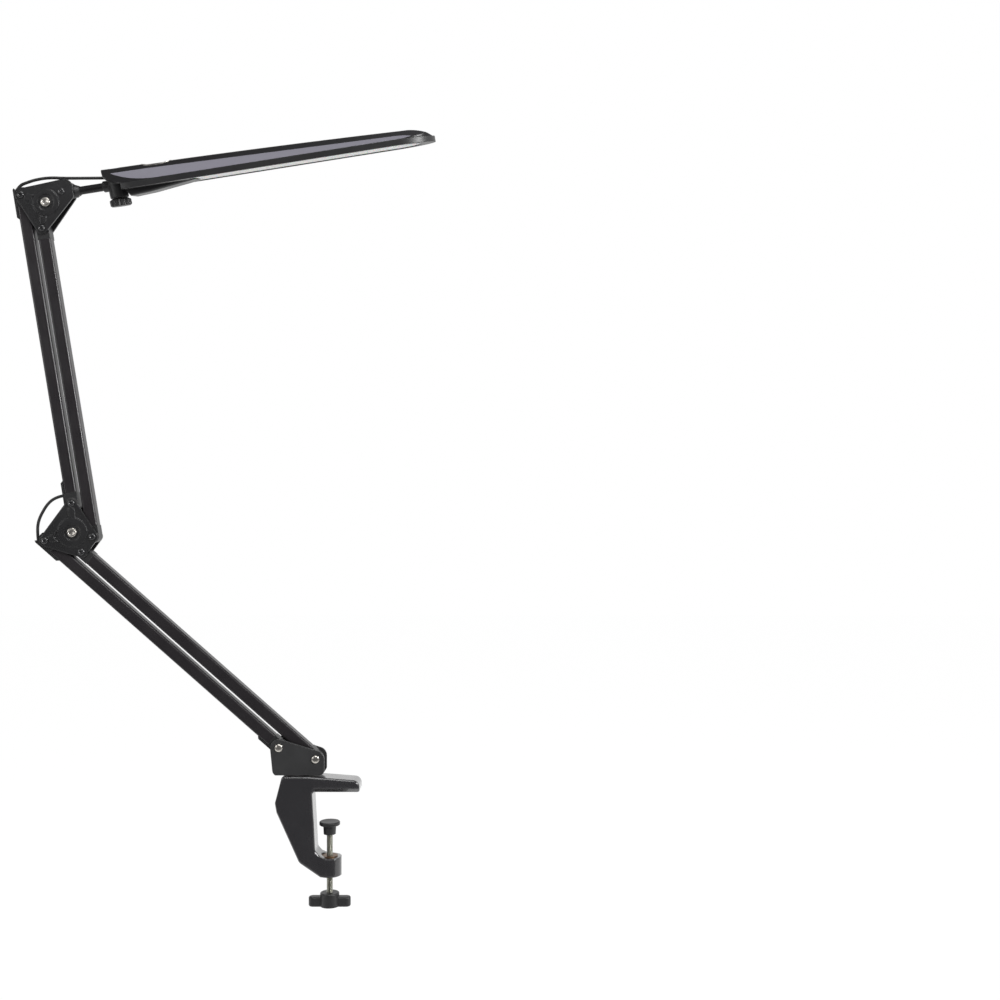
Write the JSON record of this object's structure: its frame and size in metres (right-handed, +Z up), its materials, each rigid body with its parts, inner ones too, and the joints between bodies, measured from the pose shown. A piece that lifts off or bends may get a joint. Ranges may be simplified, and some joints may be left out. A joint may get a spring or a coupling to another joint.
{
  "type": "swing-arm desk lamp",
  "caption": "Clamp-mounted desk lamp: a long slim light head on a double parallelogram arm, with joints held by friction.",
  "frame": {"origin": "underside of the clamp's upper jaw, on the axis of the clamp screw, in the middle plane of the arm", "axes": "+X towards the tip of the lamp head, +Y away from the viewer, +Z up along the clamp screw, out of the desk top"},
  "size_m": [0.5516, 0.0835, 1.0169],
  "materials": {
    "frame_coat": "satin powder coat",
    "arm_coat": "satin powder coat",
    "moulded": "fine grain",
    "head_coat": "satin",
    "inlay": "satin",
    "plated": "bright",
    "steel": "zinc plated",
    "black_steel": "blackened",
    "bronze": "satin",
    "slip_washer": "smooth",
    "key": "gloss",
    "diffuser": "opal",
    "spreader": "mill",
    "board": "white mask",
    "chips": "gel",
    "driver": "green mask",
    "cord": "matte"
  },
  "bodies": {
    "clamp": {"clamp_frame": "frame_coat", "clamp_thread_bush": "bronze", "swivel_bush": "bronze"},
    "pad": {"pressure_pad": "moulded"},
    "screw": {"clamp_screw": "steel", "screw_handle": "moulded"},
    "base": {"base_yoke": "frame_coat", "swivel_post": "steel", "base_pivot_pins": "plated", "base_spacers": "moulded"},
    "lower_outer": {"lower_outer_bar_tube": "arm_coat", "lower_outer_bar_ends": "moulded", "lower_outer_bar_cord": "cord"},
    "lower_inner": {"lower_inner_bar_tube": "arm_coat", "lower_inner_bar_ends": "moulded"},
    "elbow": {"elbow_front_plate": "frame_coat", "elbow_back_plate": "frame_coat", "elbow_rivets": "black_steel", "elbow_friction_washers": "slip_washer", "elbow_bolt": "plated", "elbow_nut": "plated", "elbow_spacer": "steel", "elbow_cord_low": "cord", "elbow_cord_high": "cord"},
    "upper_outer": {"upper_outer_bar_tube": "arm_coat", "upper_outer_bar_ends": "moulded", "upper_outer_bar_cord": "cord"},
    "upper_inner": {"upper_inner_bar_tube": "arm_coat", "upper_inner_bar_ends": "moulded"},
    "head_bracket": {"head_front_plate": "frame_coat", "head_back_plate": "frame_coat", "head_rivets": "black_steel", "head_friction_washers": "slip_washer", "head_bolt": "plated", "head_nut": "plated", "stem_socket": "moulded", "stem_grub_screw": "steel", "head_cord_low": "cord", "head_cord_middle": "cord"},
    "stem": {"head_stem": "head_coat", "knuckle": "moulded", "pan_washer": "steel", "head_cord_high": "cord"},
    "knob": {"pan_knob": "moulded", "pan_stud": "steel"},
    "head": {"head_shell": "head_coat", "side_inlays": "inlay", "touch_ring": "plated", "touch_key": "key", "pivot_cap": "moulded", "rim_frame": "moulded", "diffuser": "diffuser", "heat_spreader": "spreader", "light_board": "board", "light_chips": "chips", "head_strap": "frame_coat", "driver_board": "driver", "belly_cover": "moulded", "cord_gland": "moulded", "pan_nut": "steel"}
  },
  "joints": [
    {"name": "pad_slide", "type": "slide", "parent": "clamp", "child": "pad", "axis": [0, 0, 1], "range_m": [-0.027, 0.0215]},
    {"name": "screw_spin", "type": "hinge", "parent": "pad", "child": "screw", "pos_m": [0, 0, -0.05], "axis": [0, 0, 1], "range_deg": [-7780, 6200]},
    {"name": "base_swivel", "type": "hinge", "parent": "clamp", "child": "base", "pos_m": [-0.0406, 0, 0.0208], "axis": [0, 0, 1], "range_deg": [-180, 180]},
    {"name": "lower_arm", "type": "hinge", "parent": "base", "child": "lower_outer", "pos_m": [-0.06448, 0, 0.05789], "axis": [0, -1, 0], "range_deg": [-83.6, 2.9]},
    {"name": "lower_parallel", "type": "hinge", "parent": "base", "child": "lower_inner", "pos_m": [-0.01672, 0, 0.04311], "axis": [0, -1, 0], "range_deg": [-83.6, 2.9]},
    {"name": "elbow_level", "type": "hinge", "parent": "lower_outer", "child": "elbow", "pos_m": [-0.36978, 0, 0.32705], "axis": [0, -1, 0], "range_deg": [-2.9, 83.6], "deforming": ["elbow_cord_low"]},
    {"name": "upper_arm", "type": "hinge", "parent": "elbow", "child": "upper_outer", "pos_m": [-0.33518, 0, 0.37575], "axis": [0, -1, 0], "range_deg": [-129.3, 2.5], "deforming": ["elbow_cord_high"]},
    {"name": "upper_parallel", "type": "hinge", "parent": "elbow", "child": "upper_inner", "pos_m": [-0.30779, 0, 0.33225], "axis": [0, -1, 0], "range_deg": [-129.3, 2.5]},
    {"name": "head_level", "type": "hinge", "parent": "upper_outer", "child": "head_bracket", "pos_m": [-0.40095, 0, 0.7774], "axis": [0, -1, 0], "range_deg": [-2.5, 129.3], "deforming": ["head_cord_low"]},
    {"name": "stem_roll", "type": "hinge", "parent": "head_bracket", "child": "stem", "pos_m": [-0.34805, 0, 0.7817], "axis": [0.9877, 0, 0.1564], "range_deg": [-102.5, 77.5], "deforming": ["head_cord_middle"]},
    {"name": "head_pan", "type": "hinge", "parent": "stem", "child": "head", "pos_m": [-0.27842, 0, 0.79273], "axis": [-0.1527, -0.2164, 0.9643], "range_deg": [-60, 60], "deforming": ["head_cord_high"]},
    {"name": "knob_spin", "type": "hinge", "parent": "stem", "child": "knob", "pos_m": [-0.27842, 0, 0.79273], "axis": [-0.1527, -0.2164, 0.9643], "continuous": true}
  ],
  "couplings": [
    {"joint": "screw_spin", "follows": "pad_slide", "rad_per_m": 5026.5},
    {"joint": "lower_parallel", "follows": "lower_arm", "ratio": 1},
    {"joint": "elbow_level", "follows": "lower_arm", "ratio": -1},
    {"joint": "upper_parallel", "follows": "upper_arm", "ratio": 1},
    {"joint": "head_level", "follows": "upper_arm", "ratio": -1}
  ]
}
